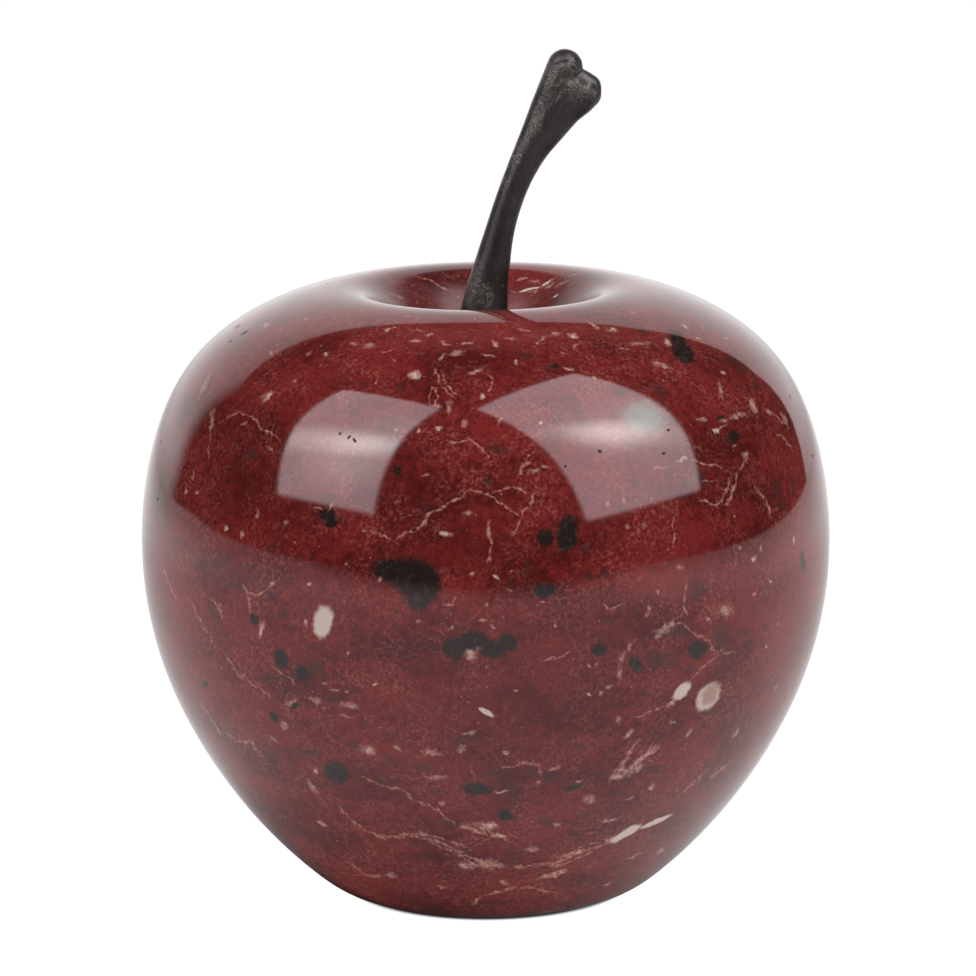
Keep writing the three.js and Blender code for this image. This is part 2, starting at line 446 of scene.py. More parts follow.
CREAM_CHIPS = [
    (753.5, 409, 9, 6.3, -30), (267, 396.5, 12, 7, 35), (414.5, 375, 12, 7.2), (644, 757, 29, 4.5, 40),
    (632, 770, 21.5, 8, 15), (623, 765, 20, 3.6, 58), (331.5, 506, 8, 2.3, 50), (318.5, 508, 8, 2),
    (671, 703, 10, 5, 45), (471.5, 654, 12.5, 11), (294, 382, 4, 4), (388, 330, 10, 3, 12),
    (395, 327, 4, 2), (417, 341, 11, 3.5, 5), (309, 354, 6, 3, 35), (325, 355, 5, 4), (271, 353, 4, 4),
    (394, 361, 4, 3), (482, 397, 5, 7, 10), (465, 423, 6, 7), (439, 428, 6, 4), (419, 431, 4, 3),
    (396, 430, 4, 4), (244, 424, 5, 3, 40), (271, 449, 10, 3, -45), (193, 475, 3, 8), (186, 490, 3, 8, -10),
    (198, 492, 3, 3), (226, 527, 4, 7), (257, 513, 4, 9), (446, 534, 12, 6, -10), (573, 336, 10, 4, -15),
    (557, 334, 8, 2), (593, 325, 12, 2, -30), (634, 312, 6, 2), (612, 329, 8, 2), (686, 327, 10, 3, -35),
    (667, 342, 9, 4, -55), (698, 338, 5, 2), (726, 338, 4, 2), (562, 352, 6, 2), (495, 344, 6, 5),
    (569, 369, 8, 3, -15), (594, 378, 4, 3), (723, 373, 4, 5), (752, 405, 6, 14, 12), (716, 430, 7, 5),
    (734, 446, 6, 3), (500, 420, 9, 3, 50), (540, 424, 5, 4), (754, 558, 5, 8), (770, 581, 3, 4),
    (754, 593, 3, 3), (761, 548, 2.5, 7), (740, 547, 3, 3), (794, 540, 3, 9, -10), (472, 575, 6, 4, 30),
    (418, 621, 5, 4), (451, 628, 4, 4), (307, 622, 4, 5), (309, 584, 5, 4), (348, 654, 3, 3),
    (375, 684, 5, 3, 20), (346, 692, 5, 5), (284, 726, 8, 7), (368, 750, 16, 8, -25), (438, 777, 18, 5, 6),
    (313, 787, 16, 4, -50), (316, 771, 3, 6, 15), (261, 630, 5, 16, -15), (510, 590, 7, 3),
    (496, 577, 8, 3, -30), (542, 602, 6, 2), (555, 624, 3, 3), (736, 733, 12, 4, 50), (672, 723, 6, 3, 30),
    (689, 732, 8, 4, 45), (608, 687, 8, 3, 15), (601, 693, 4, 3), (589, 694, 5, 3), (516, 691, 4, 3),
    (590, 667, 4, 3), (597, 664, 3, 3), (778, 624, 2.5, 4), (767, 647, 3, 4), (776, 687, 3, 9, -35),
    (617, 777, 12, 6), (628, 734, 12, 5, 40), (652, 787, 5, 8, -20), (589, 799, 11, 8, 20),
    (505, 753, 6, 3), (555, 768, 12, 3.5, 25), (501, 792, 14, 3, 5), (540, 783, 4, 4), (579, 781, 8, 2, 15),
    (442, 804, 6, 5), (470, 829, 20, 5, -20), (488, 827, 20, 8, 10), (500, 835, 12, 4, -20),
    (467, 865, 16, 8), (552, 875, 26, 5, 15), (504, 883, 8, 4), (391, 875, 10, 6, -25),
    (322, 824, 12, 4, -30), (557, 825, 8, 4), (607, 884, 10, 2.5, 15), (380, 580, 3, 6), (447, 344, 5, 3),
    (511, 339, 5, 2), (516, 362, 4, 5), (345, 716, 14, 2.5),
]

PINK_SMEARS = [
    (522.5, 279.5, 14.5, 2.7, 10), (549.5, 286, 13.5, 2.7, 30), (535, 281.5, 11, 2.7),
    (562.5, 283, 13.5, 3.6, 20), (446, 344, 10.4, 2.5, -20), (454, 352.5, 13.3, 3.3, 25),
    (441.5, 357.5, 9.2, 2.3, 60), (495, 344, 9.2, 2.9, -50), (510.5, 339, 10.4, 2.7),
    (556, 333.5, 10.4, 3.1), (542.5, 339, 13.3, 2.5, 40), (612.5, 330, 13.3, 3.1),
    (594, 325.5, 11.5, 2.7, -35), (638.5, 343.5, 20.8, 3.7, 10), (660.5, 364.5, 18.7, 3.1, -20),
    (477, 371, 13.3, 3.5, 20), (488.5, 355.5, 13.3, 2.5, -10), (466.5, 343, 11.2, 2.7, 10),
    (525, 330.5, 12.5, 2.1, -15), (429, 334.5, 10.4, 1.9, 5), (416.5, 330.5, 12.5, 1.7),
    (577, 345, 10.4, 1.9, 30), (625, 349.5, 12.5, 1.9, -10), (387.5, 351.5, 10.4, 1.9, 15),
    (738.5, 415.5, 18.6, 5.1, 14), (720, 390, 4.3, 15.7, 10), (768.5, 412, 8.6, 3.7, -40),
    (784.5, 420, 4.3, 17.1, 25), (701.5, 420, 11.4, 4.3), (745.5, 454.5, 5.7, 8.6),
    (720, 428.5, 18.6, 2.3, 40), (725.5, 610.5, 15.5, 12.5), (664, 630, 21, 8, 32), (368, 346, 12, 5),
    (353, 344, 10, 3), (266, 325, 9, 4, 40), (306, 320, 6, 2), (376, 383, 3, 6), (456, 353, 12, 5, 10),
    (441, 358, 8, 3, 50), (478, 370, 7, 5), (449, 406, 6, 12, -10), (438, 406, 6, 4), (242, 534, 4, 9),
    (286, 522, 4, 4), (468, 513, 11, 6), (426, 474, 5, 3), (204, 387, 3.5, 30, -20), (212, 420, 4, 20, -10),
    (660, 365, 14, 3, -15), (525, 465.5, 15.5, 3.6, 35), (533.5, 471, 11, 3.6, 10),
    (520.5, 471.5, 9, 2.7, 60), (545, 467, 9, 4, -10), (660, 468, 14, 2.5), (682, 459, 14, 4, 25),
    (624, 500, 4, 6), (607, 504, 5, 5), (644, 526, 4, 4), (627, 527, 4, 4), (484, 620, 8, 3),
    (493, 627, 6, 4, -40), (658, 592, 4, 4), (680, 567, 7, 4), (708, 619, 6, 3), (618, 719, 4, 8),
    (631, 687, 4, 3), (316, 701, 14, 6, -20), (350, 706, 15, 5, -10), (334, 690, 11, 3), (325, 683, 5, 4),
    (432, 753, 20, 6, -10), (462, 749, 8, 8), (470, 733, 12, 4, 10), (290, 703, 14, 4, 25),
    (490, 864, 26, 10, -5), (572, 854, 22, 6, 15), (532, 849, 15, 6), (660, 852, 12, 5, 35),
    (632, 857, 20, 2.5, 20), (440, 887, 12, 2.5, -10), (629, 799, 9, 2.5, 5), (610, 820, 14, 3, 15),
    (397, 748, 10, 3, -30), (612, 840, 12, 8), (274, 740, 12, 3, -45), (724, 420, 14, 3, 12),
    (740, 416, 16, 3, 12),
]

RING_CENTRES = [
    (710, 694, 27, 16.3, 55),
]

GREY_SHELLS = [
    (644.5, 418, 44.5, 33.5, -10),
]

PITS = [
    (238, 326, 8.6, 2.7, 35), (243.5, 333, 11, 3.2, 38), (230, 342, 6.3, 2.3, 30),
    (349.5, 437.5, 5.5, 2.7, 45), (355, 440, 3.2, 5.5, 20), (340, 434, 3, 3), (327.5, 284, 4.5, 1.8, -10),
    (161, 442.5, 2.3, 4.5), (157.5, 499, 2.3, 4.5), (789.5, 396.5, 2.3, 4.5, 20),
    (812.5, 455.5, 2.3, 4.5, 10), (664, 454, 4, 3), (668, 430, 4, 3), (600, 451, 5, 3), (565, 466, 3, 3),
]

DEEPER_PATCHES = [
    (496, 370, 18.7, 14.6, -50), (454, 373, 29.2, 16.7, -20), (781.5, 445.5, 18.6, 21.4),
    (720, 465.5, 28.6, 17.1, -20), (743, 390, 28.6, 12.9, 20), (248, 456, 100, 127, 15),
    (270.5, 515, 81.5, 63.5), (483.5, 555, 154, 45), (519.5, 700, 172, 154), (600.5, 650, 72.5, 54.5),
    (578.5, 696.5, 81.5, 81.5),
]

PALER_PATCHES = [
    (480, 336, 236, 32.5), (610.5, 330.5, 145, 27, -10), (669, 578.5, 90.5, 45.5),
    (796, 606, 72.5, 254, -10), (180, 624, 54.5, 181, 10),
]

# Each vein is its width and the points that it runs through, in pixels too.
VEINS = [
    (1.8, [(360, 530), (376, 533), (394, 540), (406, 532), (420, 526), (430, 514), (446, 504), (460, 498),
          (468, 491), (482, 493), (498, 500), (510, 508), (516, 515)]),
    (2.6, [(490, 524), (491, 540), (489, 562)]),
    (1.8, [(490, 492), (512, 487), (524, 492)]),
    (1.6, [(533, 494), (528, 506), (522, 516), (517, 528), (512, 535)]),
    (1.6, [(448, 442), (460, 443), (470, 440), (480, 448), (487, 456)]),
    (1.4, [(434, 370), (440, 384), (452, 395)]),
    (1.3, [(440, 372), (446, 383), (456, 394)]),
    (1.3, [(430, 387.5), (427.5, 395.5), (430, 404.5), (434.5, 405.5), (438, 397.5), (435.5, 388.5),
          (430, 387.5)]),
    (1.3, [(488, 373), (491, 381), (488, 391)]),
    (2, [(748, 458), (738, 472), (735, 482), (730, 500)]),
    (1.7, [(728, 482), (726, 493), (719, 503), (711, 504), (700, 499)]),
    (1.7, [(754, 486), (764, 500), (771, 515)]),
    (1.5, [(776, 436), (786, 438), (793, 449)]),
    (1.5, [(766, 410), (776, 416), (788, 425)]),
    (1.4, [(696, 460), (708, 464), (723, 470)]),
    (1.4, [(703, 482), (717, 481)]),
    (1.6, [(676, 510), (673, 530), (673, 545)]),
    (2, [(243, 587), (249, 594), (258, 596), (266, 590), (275, 581)]),
    (1.8, [(248, 594), (249, 603), (252, 611)]),
    (1.4, [(164, 564), (167, 578), (176, 600)]),
    (1.2, [(188, 598), (197, 613), (207, 632), (217, 648)]),
    (2, [(209, 598), (219, 607), (223, 620)]),
    (1.6, [(226, 658), (240, 674), (258, 688), (270, 697)]),
    (1.6, [(204, 706), (212, 719), (221, 735)]),
    (1.6, [(228, 734), (238, 741), (249, 741), (262, 753)]),
    (1.4, [(276, 668), (286, 678), (296, 686)]),
    (1.5, [(366, 779), (385, 786), (402, 791), (415, 800), (432, 807), (452, 822)]),
    (1.5, [(446, 605), (452, 606), (455, 598)]),
    (2, [(648, 605), (649, 611), (645, 616)]),
    (1.4, [(686, 586), (685, 606), (687, 613), (677, 618), (668, 626)]),
    (1.6, [(670, 622), (682, 624), (692, 634), (702, 636), (710, 645), (714, 652), (724, 653), (733, 651)]),
    (1.4, [(720, 655), (710, 664), (700, 670), (693, 677)]),
    (4, [(634, 641), (627, 651), (621, 664), (618, 680)]),
    (1.8, [(667, 705), (652, 710), (635, 717)]),
    (1.4, [(546, 660), (560, 657), (567, 652)]),
    (1.4, [(604, 604), (612, 609), (621, 605)]),
    (2.6, [(614, 776), (626, 760), (636, 744)]),
    (3.6, [(624, 771), (640, 758), (656, 746)]),
    (1.6, [(727, 762), (720, 772), (711, 777)]),
    (1.6, [(706, 773), (696, 782), (685, 792)]),
    (2.2, [(502, 768), (516, 766), (528, 762), (539, 765), (541, 774)]),
    (1.8, [(339, 806.5), (350, 818), (359.5, 825), (368.5, 831.5), (378, 835.5)]),
    (2.7, [(378, 835.5), (389, 837), (400, 836), (409, 835.5)]),
    (3.8, [(409, 835.5), (420, 836), (431, 840), (440, 842.5)]),
    (2.7, [(440, 842.5), (453, 847), (464, 854), (477, 859.5), (488, 863.5), (501, 866.5)]),
    (1.8, [(418, 832.5), (429, 834.5), (444, 838.5), (456.5, 842), (469.5, 848.5)]),
    (1.8, [(433, 843.5), (444, 848), (456.5, 853), (466, 859.5), (473.5, 863.5)]),
    (3.6, [(464, 826), (477, 824.5), (488, 824), (496, 826)]),
    (2.7, [(480.5, 829), (490, 833), (497, 836), (505.5, 839)]),
    (2.3, [(473.5, 829), (477, 833), (486, 835.5)]),
    (2.7, [(513.5, 866.5), (524.5, 867.5), (535.5, 866.5), (547, 865.5), (556, 863.5)]),
    (3.2, [(556, 863.5), (565, 859), (574.5, 854.5), (583.5, 851.5)]),
    (2, [(550.5, 867), (561.5, 865), (572.5, 860.5), (583.5, 856.5), (592.5, 852)]),
    (2, [(583.5, 851.5), (592.5, 849), (602, 846.5), (611, 841.5)]),
    (1.6, [(565, 856.5), (576, 849.5), (587, 845.5), (598, 843)]),
    (2.3, [(541, 877.5), (550.5, 876), (559.5, 873), (566, 869)]),
    (2, [(472, 904), (485, 896), (505, 890), (522, 887), (537, 890), (552, 894)]),
    (1.8, [(345, 861), (365, 874), (378, 876)]),
    (1.5, [(228, 418), (238, 412), (250, 418), (261, 427), (276, 438)]),
    (1.3, [(209, 430), (210, 446), (208, 460)]),
    (1.6, [(422, 279), (448, 288)]),
    (1.6, [(518, 291), (536, 292), (551, 280)]),
    (1.5, [(569, 278), (582, 274)]),
    (1.5, [(393, 294), (405, 298)]),
]
VEIN_OVERLAP = 1.35
VEIN_SPREAD = 1.4  # how much wider than its core a vein is at its faint edges


def vein_marks(width, points):
    """A vein as long thin marks, one between each two of its points, that overlap at their ends."""
    marks = []
    for (x, y), (next_x, next_y) in zip(points, points[1:]):
        length = math.hypot(next_x - x, next_y - y)
        angle = math.atan2(y - next_y, next_x - x) / DEGREE
        middle = ((x + next_x) / 2, (y + next_y) / 2)
        marks.append((*middle, VEIN_OVERLAP * length, VEIN_SPREAD * width, angle))
    return marks


TURN_STEP = 7.5  # marks are turned in steps of this angle, in degrees
EDGE_ROOM = 1  # how far a mark may wander from where it is laid out, in millimetres


class Placed:
    """Finds where marks lie on a piece, and keeps only those that reach into one level band of it."""

    def __init__(self, piece, low, high):
        bpy.context.view_layer.update()
        self.skin = BVHTree.FromObject(piece, bpy.context.evaluated_depsgraph_get())
        self.low = low
        self.high = high

    def nearest(self, tree, faced, name, marks):
        """The distance to the nearest of these marks, worked out in a node group of its own."""
        group = mark_group(name, self.by_turn(marks))
        return step(tree, "Group", {0: faced}, node_tree=group).outputs[0]

    def by_turn(self, marks):
        """The middles, as seen square on, and half sizes of the marks in the band, in millimetres and
        listed by their turn."""
        eye, face = front_eye()
        listed = {}
        for x, y, width, height, *angle in marks:
            through = CAMERA_AIM + face @ Vector((x - VIEW_SIZE / 2, VIEW_SIZE / 2 - y, 0)) * PIXEL
            middle = self.skin.ray_cast(eye, through - eye)[0] / MM
            half_width, half_height = (size / 2 * PIXEL / MM for size in (width, height))
            longer = max(half_width, half_height)
            if self.low - longer - EDGE_ROOM < middle.z < self.high + longer + EDGE_ROOM:
                half_sizes = Vector((half_width, half_height, 4 * longer + 1))
                turn = round(angle[0] / TURN_STEP) * TURN_STEP % 180 if angle else 0
                listed.setdefault(turn, []).append((face.inverted() @ middle, half_sizes))
        return listed


def mark_group(name, by_turn):
    """A node group that gives the distance to the nearest mark from a place as seen square on.
    The distance is 0 at a mark's middle and 1 on its edge."""
    tree = bpy.data.node_groups.new(name, "ShaderNodeTree")
    tree.interface.new_socket("Place", in_out="INPUT", socket_type="NodeSocketVector")
    tree.interface.new_socket("Away", in_out="OUTPUT", socket_type="NodeSocketFloat")
    faced = tree.nodes.new("NodeGroupInput").outputs[0]
    nearest = FAR
    for turn, marks in sorted(by_turn.items()):
        turned = step(tree, "VectorRotate", {
            "Vector": faced, "Angle": -turn * DEGREE}, rotation_type="Z_AXIS").outputs[0]
        for middle, half_sizes in marks:
            scale = Vector((1 / half for half in half_sizes))
            middle = (Quaternion((0, 0, 1), -turn * DEGREE) @ middle) * scale
            inside = step(tree, "VectorMath", {0: turned, 1: scale}, operation="MULTIPLY").outputs[0]
            away = step(tree, "VectorMath", {0: inside, 1: middle}, operation="DISTANCE").outputs["Value"]
            nearest = lesser(tree, nearest, away)
    end = tree.nodes.new("NodeGroupOutput").inputs[0]
    if by_turn:
        tree.links.new(nearest, end)
    else:
        end.default_value = FAR
    return tree


def seen_square_on(tree, place):
    """A place in millimetres, turned so that X is to the right as seen from the front eye point."""
    turn = front_eye()[1].inverted().to_euler()
    return step(tree, "VectorRotate", {
        "Vector": place, "Rotation": turn}, rotation_type="EULER_XYZ").outputs[0]


def mark_amount(tree, nearest, rag, raggedness, softness):
    """1 inside a mark and 0 outside, with a ragged edge that fades over a share of the mark's size."""
    uneven = step(tree, "Math", {
        0: rag, 1: raggedness, 2: -raggedness / 2}, operation="MULTIPLY_ADD").outputs[0]
    edge = step(tree, "Math", {0: nearest, 1: uneven}, operation="ADD").outputs[0]
    return soft_step(tree, edge, 1 + softness / 2, 1 - softness)


# ---- The marble ----

DEEP_CRIMSON = (0.038, 0.004, 0.004, 1)
CRIMSON = (0.101, 0.0103, 0.0098, 1)
FRESH_CRIMSON = (0.17, 0.026, 0.024, 1)
PINK = (0.30, 0.12, 0.10, 1)
VEIN = (0.31, 0.145, 0.12, 1)
CREAM = (0.36, 0.285, 0.25, 1)
TAN = (0.17, 0.08, 0.065, 1)
DARK_BROWN = (0.026, 0.011, 0.010, 1)
SHELL_BLACK = (0.0085, 0.0062, 0.0056, 1)
ASH = (0.034, 0.032, 0.028, 1)
GREY_GREEN = (0.095, 0.115, 0.105, 1)

POLISH_TINT = (1, 0.84, 0.89, 1)
DIMPLE_EDGE = 13  # the radius inside which the stone is less polished, in millimetres
DIMPLE_ROUGHNESS = 0.26
BAND_EDGES = [-1, 12, 23, 34, 45, 56, 70]  # heights in millimetres


def marble_ground(tree, rough_place, bent_place, grain):
    """Soft crimson clouds, a fine mottling, and pink speckles in patches and in wandering lines."""
    tone = noise_value(tree, stretched(tree, bent_place, (0.8, 0.8, 1.6)), 0.13, detail=3)
    mottle = noise_value(tree, rough_place, 1.1, detail=4, roughness=0.72)
    both = step(tree, "Math", {0: tone, 1: 0.85, 2: mottle}, operation="MULTIPLY_ADD").outputs[0]
    colour = tinted(tree, DEEP_CRIMSON, CRIMSON, soft_step(tree, both, 0.68, 1.12))
    patch = noise_value(tree, bent_place, 0.25, detail=3, roughness=0.6)
    speckle = times(tree, soft_step(tree, grain, 0.46, 0.74), soft_step(tree, patch, 0.36, 0.66))
    colour = tinted(tree, colour, PINK, times(tree, speckle, 0.26))
    crossing = soft_step(tree, wandering(tree, bent_place, 0.33, 0.035), 1, 0)
    lines = times(tree, crossing, soft_step(tree, mottle, 0.42, 0.62))
    lines = times(tree, lines, soft_step(tree, tone, 0.42, 0.6))
    colour = tinted(tree, colour, PINK, times(tree, lines, 0.14))
    return tinted(tree, colour, DEEP_CRIMSON, times(tree, soft_step(tree, grain, 0.5, 0.28), 0.55))


def from_axis(tree, place):
    """How far a place is from the apple's upright axis."""
    level = step(tree, "VectorMath", {0: place, 1: (1, 1, 0)}, operation="MULTIPLY").outputs[0]
    return step(tree, "VectorMath", {0: level}, operation="LENGTH").outputs["Value"]


def marked_by_hand(tree, place):
    """1 on the front and in the dimple. 0 on the back and under the foot, where the marks are strewn."""
    parts = step(tree, "SeparateXYZ", {0: place})
    front = soft_step(tree, parts.outputs["Y"], 5, -4)
    dimple = soft_step(tree, from_axis(tree, place), 15, 11)
    front = step(tree, "Math", {0: front, 1: dimple}, operation="MAXIMUM").outputs[0]
    return lesser(tree, front, soft_step(tree, parts.outputs["Z"], 1, 4))


def marble(piece, low, high):
    """The red fossil marble, with the front's marks that reach between two heights."""
    material, tree, surface = new_material("red_fossil_marble")
    placed = Placed(piece, low, high)
    place = place_in_mm(tree)
    rough_place = wobbled(tree, place, 1.1, 0.8)
    bent_place = wobbled(tree, rough_place, 0.3, 0.9)
    grain = noise_value(tree, place, 2.6, detail=2, roughness=0.6)
    colour = marble_ground(tree, rough_place, bent_place, grain)

    # On the hidden sides each kind of mark is strewn by chance. This keeps those marks off the front.
    aside = times(tree, marked_by_hand(tree, place), 3)
    turned_place = stretched(tree, rough_place, (0.7, 1, 1.5), (20, 35, 50))

    def nearer(laid_out, by_chance):
        kept_off = step(tree, "Math", {0: by_chance, 1: aside}, operation="ADD").outputs[0]
        return lesser(tree, laid_out, kept_off)

    def marked(under, over, away, ragged, soft, amount):
        covered = mark_amount(tree, away, rag, ragged, soft)
        return tinted(tree, under, over, times(tree, covered, amount))

    # Deeper and paler patches, and fine pale flecks and dark pores all over.
    rag = noise_value(tree, place, 1.7, detail=3, roughness=0.65)
    rough_face = seen_square_on(tree, rough_place)
    pale = tinted(tree, PINK, CREAM, soft_step(tree, grain, 0.4, 0.66))
    away = placed.nearest(tree, rough_face, "deeper_patches", DEEPER_PATCHES)
    colour = marked(colour, DEEP_CRIMSON, away, ragged=0.6, soft=0.9, amount=0.3)
    away = placed.nearest(tree, rough_face, "paler_patches", PALER_PATCHES)
    colour = marked(colour, FRESH_CRIMSON, away, ragged=0.6, soft=0.9, amount=0.36)
    flecks = soft_step(tree, strewn(tree, rough_place, 1.1, 0.16, 0.35), 1.2, 0.5)
    colour = tinted(tree, colour, pale, times(tree, flecks, 0.32))
    pores = soft_step(tree, strewn(tree, rough_place, 0.75, 0.22, 0.3), 1.2, 0.5)
    colour = tinted(tree, colour, DARK_BROWN, times(tree, pores, 0.6))

    # Dark inclusions, from soft brown clouds to black shell fragments.
    away = placed.nearest(tree, rough_face, "dark_clouds", DARK_CLOUDS)
    away = nearer(away, strewn(tree, turned_place, 0.3, 1.2, 0.45))
    colour = marked(colour, DARK_BROWN, away, ragged=1.4, soft=0.85, amount=0.66)
    away = placed.nearest(tree, rough_face, "dark_shells", DARK_SHELLS)
    away = nearer(away, strewn(tree, rough_place, 0.14, 1.7, 0.6))
    mottled = noise_value(tree, rough_place, 1.3, detail=3, roughness=0.7)
    shell_colour = tinted(tree, SHELL_BLACK, ASH, times(tree, soft_step(tree, mottled, 0.5, 0.75), 0.6))
    colour = marked(colour, shell_colour, away, ragged=0.4, soft=0.35, amount=0.96)
    away = placed.nearest(tree, rough_face, "grey_shells", GREY_SHELLS)
    colour = marked(colour, GREY_GREEN, away, ragged=0.9, soft=0.8, amount=0.9)

    # Veins and pale shell fragments.
    bent_face = seen_square_on(tree, bent_place)
    away = placed.nearest(tree, bent_face, "veins", [row for vein in VEINS for row in vein_marks(*vein)])
    away = nearer(away, wandering(tree, bent_place, 0.06, 0.005))
    broken = ramp(tree, grain, 0.38, 0.62, 0.15, 0.66)
    colour = marked(colour, VEIN, away, ragged=2.2, soft=0.8, amount=broken)
    away = placed.nearest(tree, rough_face, "pink_smears", PINK_SMEARS)
    colour = marked(colour, pale, away, ragged=2.4, soft=0.9, amount=0.44)
    away = placed.nearest(tree, rough_face, "cream_chips", CREAM_CHIPS)
    away = nearer(away, strewn(tree, turned_place, 0.45, 0.5, 0.4))
    fading = ramp(tree, noise_value(tree, place, 0.6, detail=1), 0.4, 0.6, 0.38, 0.8)
    colour = marked(colour, pale, away, ragged=1.3, soft=0.85, amount=fading)
    even_face = seen_square_on(tree, wobbled(tree, place, 0.7, 0.5))
    away = placed.nearest(tree, even_face, "cream_shells", CREAM_SHELLS)
    colour = marked(colour, CREAM, away, ragged=0.5, soft=0.3, amount=0.88)
    away = placed.nearest(tree, even_face, "ring_centres", RING_CENTRES)
    colour = marked(colour, TAN, away, ragged=1, soft=0.5, amount=0.75)

    # The polish, which open pits don't take, and which is poorer down in the dimple.
    away = placed.nearest(tree, even_face, "pits", PITS)
    pit = mark_amount(tree, away, rag, 0.8, 0.4)
    colour = tinted(tree, colour, SHELL_BLACK, times(tree, pit, 0.9))
    shine = ramp(tree, pit, 0, 1, 0.5, 0.05)
    in_dimple = soft_step(tree, from_axis(tree, place), DIMPLE_EDGE + 2, DIMPLE_EDGE - 3)
    dull = times(tree, in_dimple, DIMPLE_ROUGHNESS)
    uneven = step(tree, "MapRange", {"Value": rag, "To Min": 0.03, "To Max": 0.09}).outputs[0]
    roughness = step(tree, "Math", {0: uneven, 1: dull}, operation="ADD").outputs[0]

    shader = step(tree, "BsdfPrincipled", {
        "Base Color": colour, "Roughness": roughness, "IOR": 1.5, "Specular Tint": POLISH_TINT,
        "Specular IOR Level": shine})
    tree.links.new(shader.outputs[0], surface)
    return material


def clad_in_marble(piece):
    """Gives each level band of a piece the same marble, with only that band's marks to work out."""
    bands = list(zip(BAND_EDGES, BAND_EDGES[1:]))
    for low, high in bands:
        piece.data.materials.append(marble(piece, low, high))
    for face in piece.data.polygons:
        height = face.center.z / MM
        face.material_index = next(i for i, (low, high) in enumerate(bands) if low <= height < high)


COLD_BLACK = (0.0095, 0.007, 0.0075, 1)
WARM_BLACK = (0.021, 0.013, 0.015, 1)
PALE_METAL_AND_HIGHLIGHT = (0.13, 0.105, 0.1, 1)
# Where the metal is pebbly and paler, written like the marks in the stone: the knob, a streak below it, and
# the foot. The pale streak is partly a painted highlight, where a softbox's sheen runs down the stem.
PEBBLY_AND_HIGHLIGHT_PLACES = [
    (563, 78.5, 40, 38, -30), (575, 89.5, 31, 23.5), (552.5, 84, 13.5, 32.5, -25),
    (542.5, 108.5, 13.5, 32.5, -28), (533.5, 127.5, 12, 27, -28), (524, 144.5, 10, 27, -28),
    (516, 162, 8, 27, -25), (509, 180, 6.3, 27, -22), (472.5, 285, 14.5, 54.5, -17), (486, 297.5, 14.5, 27),
]


def cast_metal(piece):
    """Dark brown-black cast metal: smooth on most of the shank, and pebbly and paler on the knob, in a
    streak on the shank and near the foot. The paler tone is partly a painted highlight.
    """
    material, tree, surface = new_material("dark_cast_metal")
    place = place_in_mm(tree)
    cloud = noise_value(tree, place, 0.4, detail=4, roughness=0.6)
    pebble = noise_value(tree, place, 3.2, detail=3, roughness=0.85)
    face = seen_square_on(tree, wobbled(tree, place, 0.8, 0.8))
    away = Placed(piece, 0, FAR).nearest(tree, face, "pebbly_and_highlight_places", PEBBLY_AND_HIGHLIGHT_PLACES)
    pebbly = ramp(tree, away, 0.5, 1.4, 1, 0.15)
    colour = tinted(tree, COLD_BLACK, WARM_BLACK, soft_step(tree, cloud, 0.35, 0.65))
    # Pale metal on the pebble tops and the specks: partly the rubbed casting, partly a painted highlight
    # along the stem's lit streak.
    worn_and_highlight = times(tree, ramp(tree, pebble, 0.45, 0.68, 0.12, 1), pebbly)
    specks = soft_step(tree, strewn(tree, place, 0.9, 0.16, 0.35), 1.2, 0.6)
    worn_and_highlight = step(tree, "Math", {0: worn_and_highlight, 1: specks}, operation="MAXIMUM").outputs[0]
    colour = tinted(tree, colour, PALE_METAL_AND_HIGHLIGHT, times(tree, worn_and_highlight, 0.85))
    roughness = ramp(tree, pebble, 0.3, 0.7, 0.43, 0.34)
    bump = step(tree, "Bump", {"Height": times(tree, pebble, pebbly), "Strength": 0.7,
                               "Distance": 0.14 * MM}).outputs[0]
    # Less reflective towards the foot, down by the dimple: painted shade on the stem's lowest part.
    height = step(tree, "SeparateXYZ", {0: place}).outputs["Z"]
    shader = step(tree, "BsdfPrincipled", {
        "Base Color": colour, "Roughness": roughness, "Metallic": 0.3, "IOR": 1.5, "Normal": bump,
        "Specular IOR Level": ramp(tree, height, 62, 78, 0.2, 0.5)})
    tree.links.new(shader.outputs[0], surface)
    return material


HONEY = (0.42, 0.3, 0.12, 1)
PALE_HONEY = (0.58, 0.47, 0.25, 1)
BUBBLE = (0.8, 0.74, 0.55, 1)


def cured_glue():
    """Yellowed clear glue with clouds of fine bubbles."""
    material, tree, surface = new_material("cured_glue")
    place = place_in_mm(tree)
    cloud = noise_value(tree, place, 0.8, detail=3)
    bubbles = soft_step(tree, strewn(tree, place, 2.5, 0.15, 0.5), 1.2, 0.6)
    colour = tinted(tree, HONEY, PALE_HONEY, soft_step(tree, cloud, 0.35, 0.65))
    colour = tinted(tree, colour, BUBBLE, times(tree, bubbles, 0.6))
    roughness = ramp(tree, cloud, 0.3, 0.7, 0.22, 0.4)
    bump = step(tree, "Bump", {"Height": bubbles, "Strength": 0.4, "Distance": 0.05 * MM}).outputs[0]
    shader = step(tree, "BsdfPrincipled", {"Base Color": colour, "Roughness": roughness, "Normal": bump})
    tree.links.new(shader.outputs[0], surface)
    return material


# ---- The studio ----

# Sizes and places in metres, except those of the lamps.

SOFTBOX_DISTANCE = 0.9
SOFTBOX_EDGE = 0.035  # how far in from its edges a softbox reaches its full brightness
SOFTBOX_AIM = Vector((0, 0, 0.04))
CLOTH_STRENGTH = 4
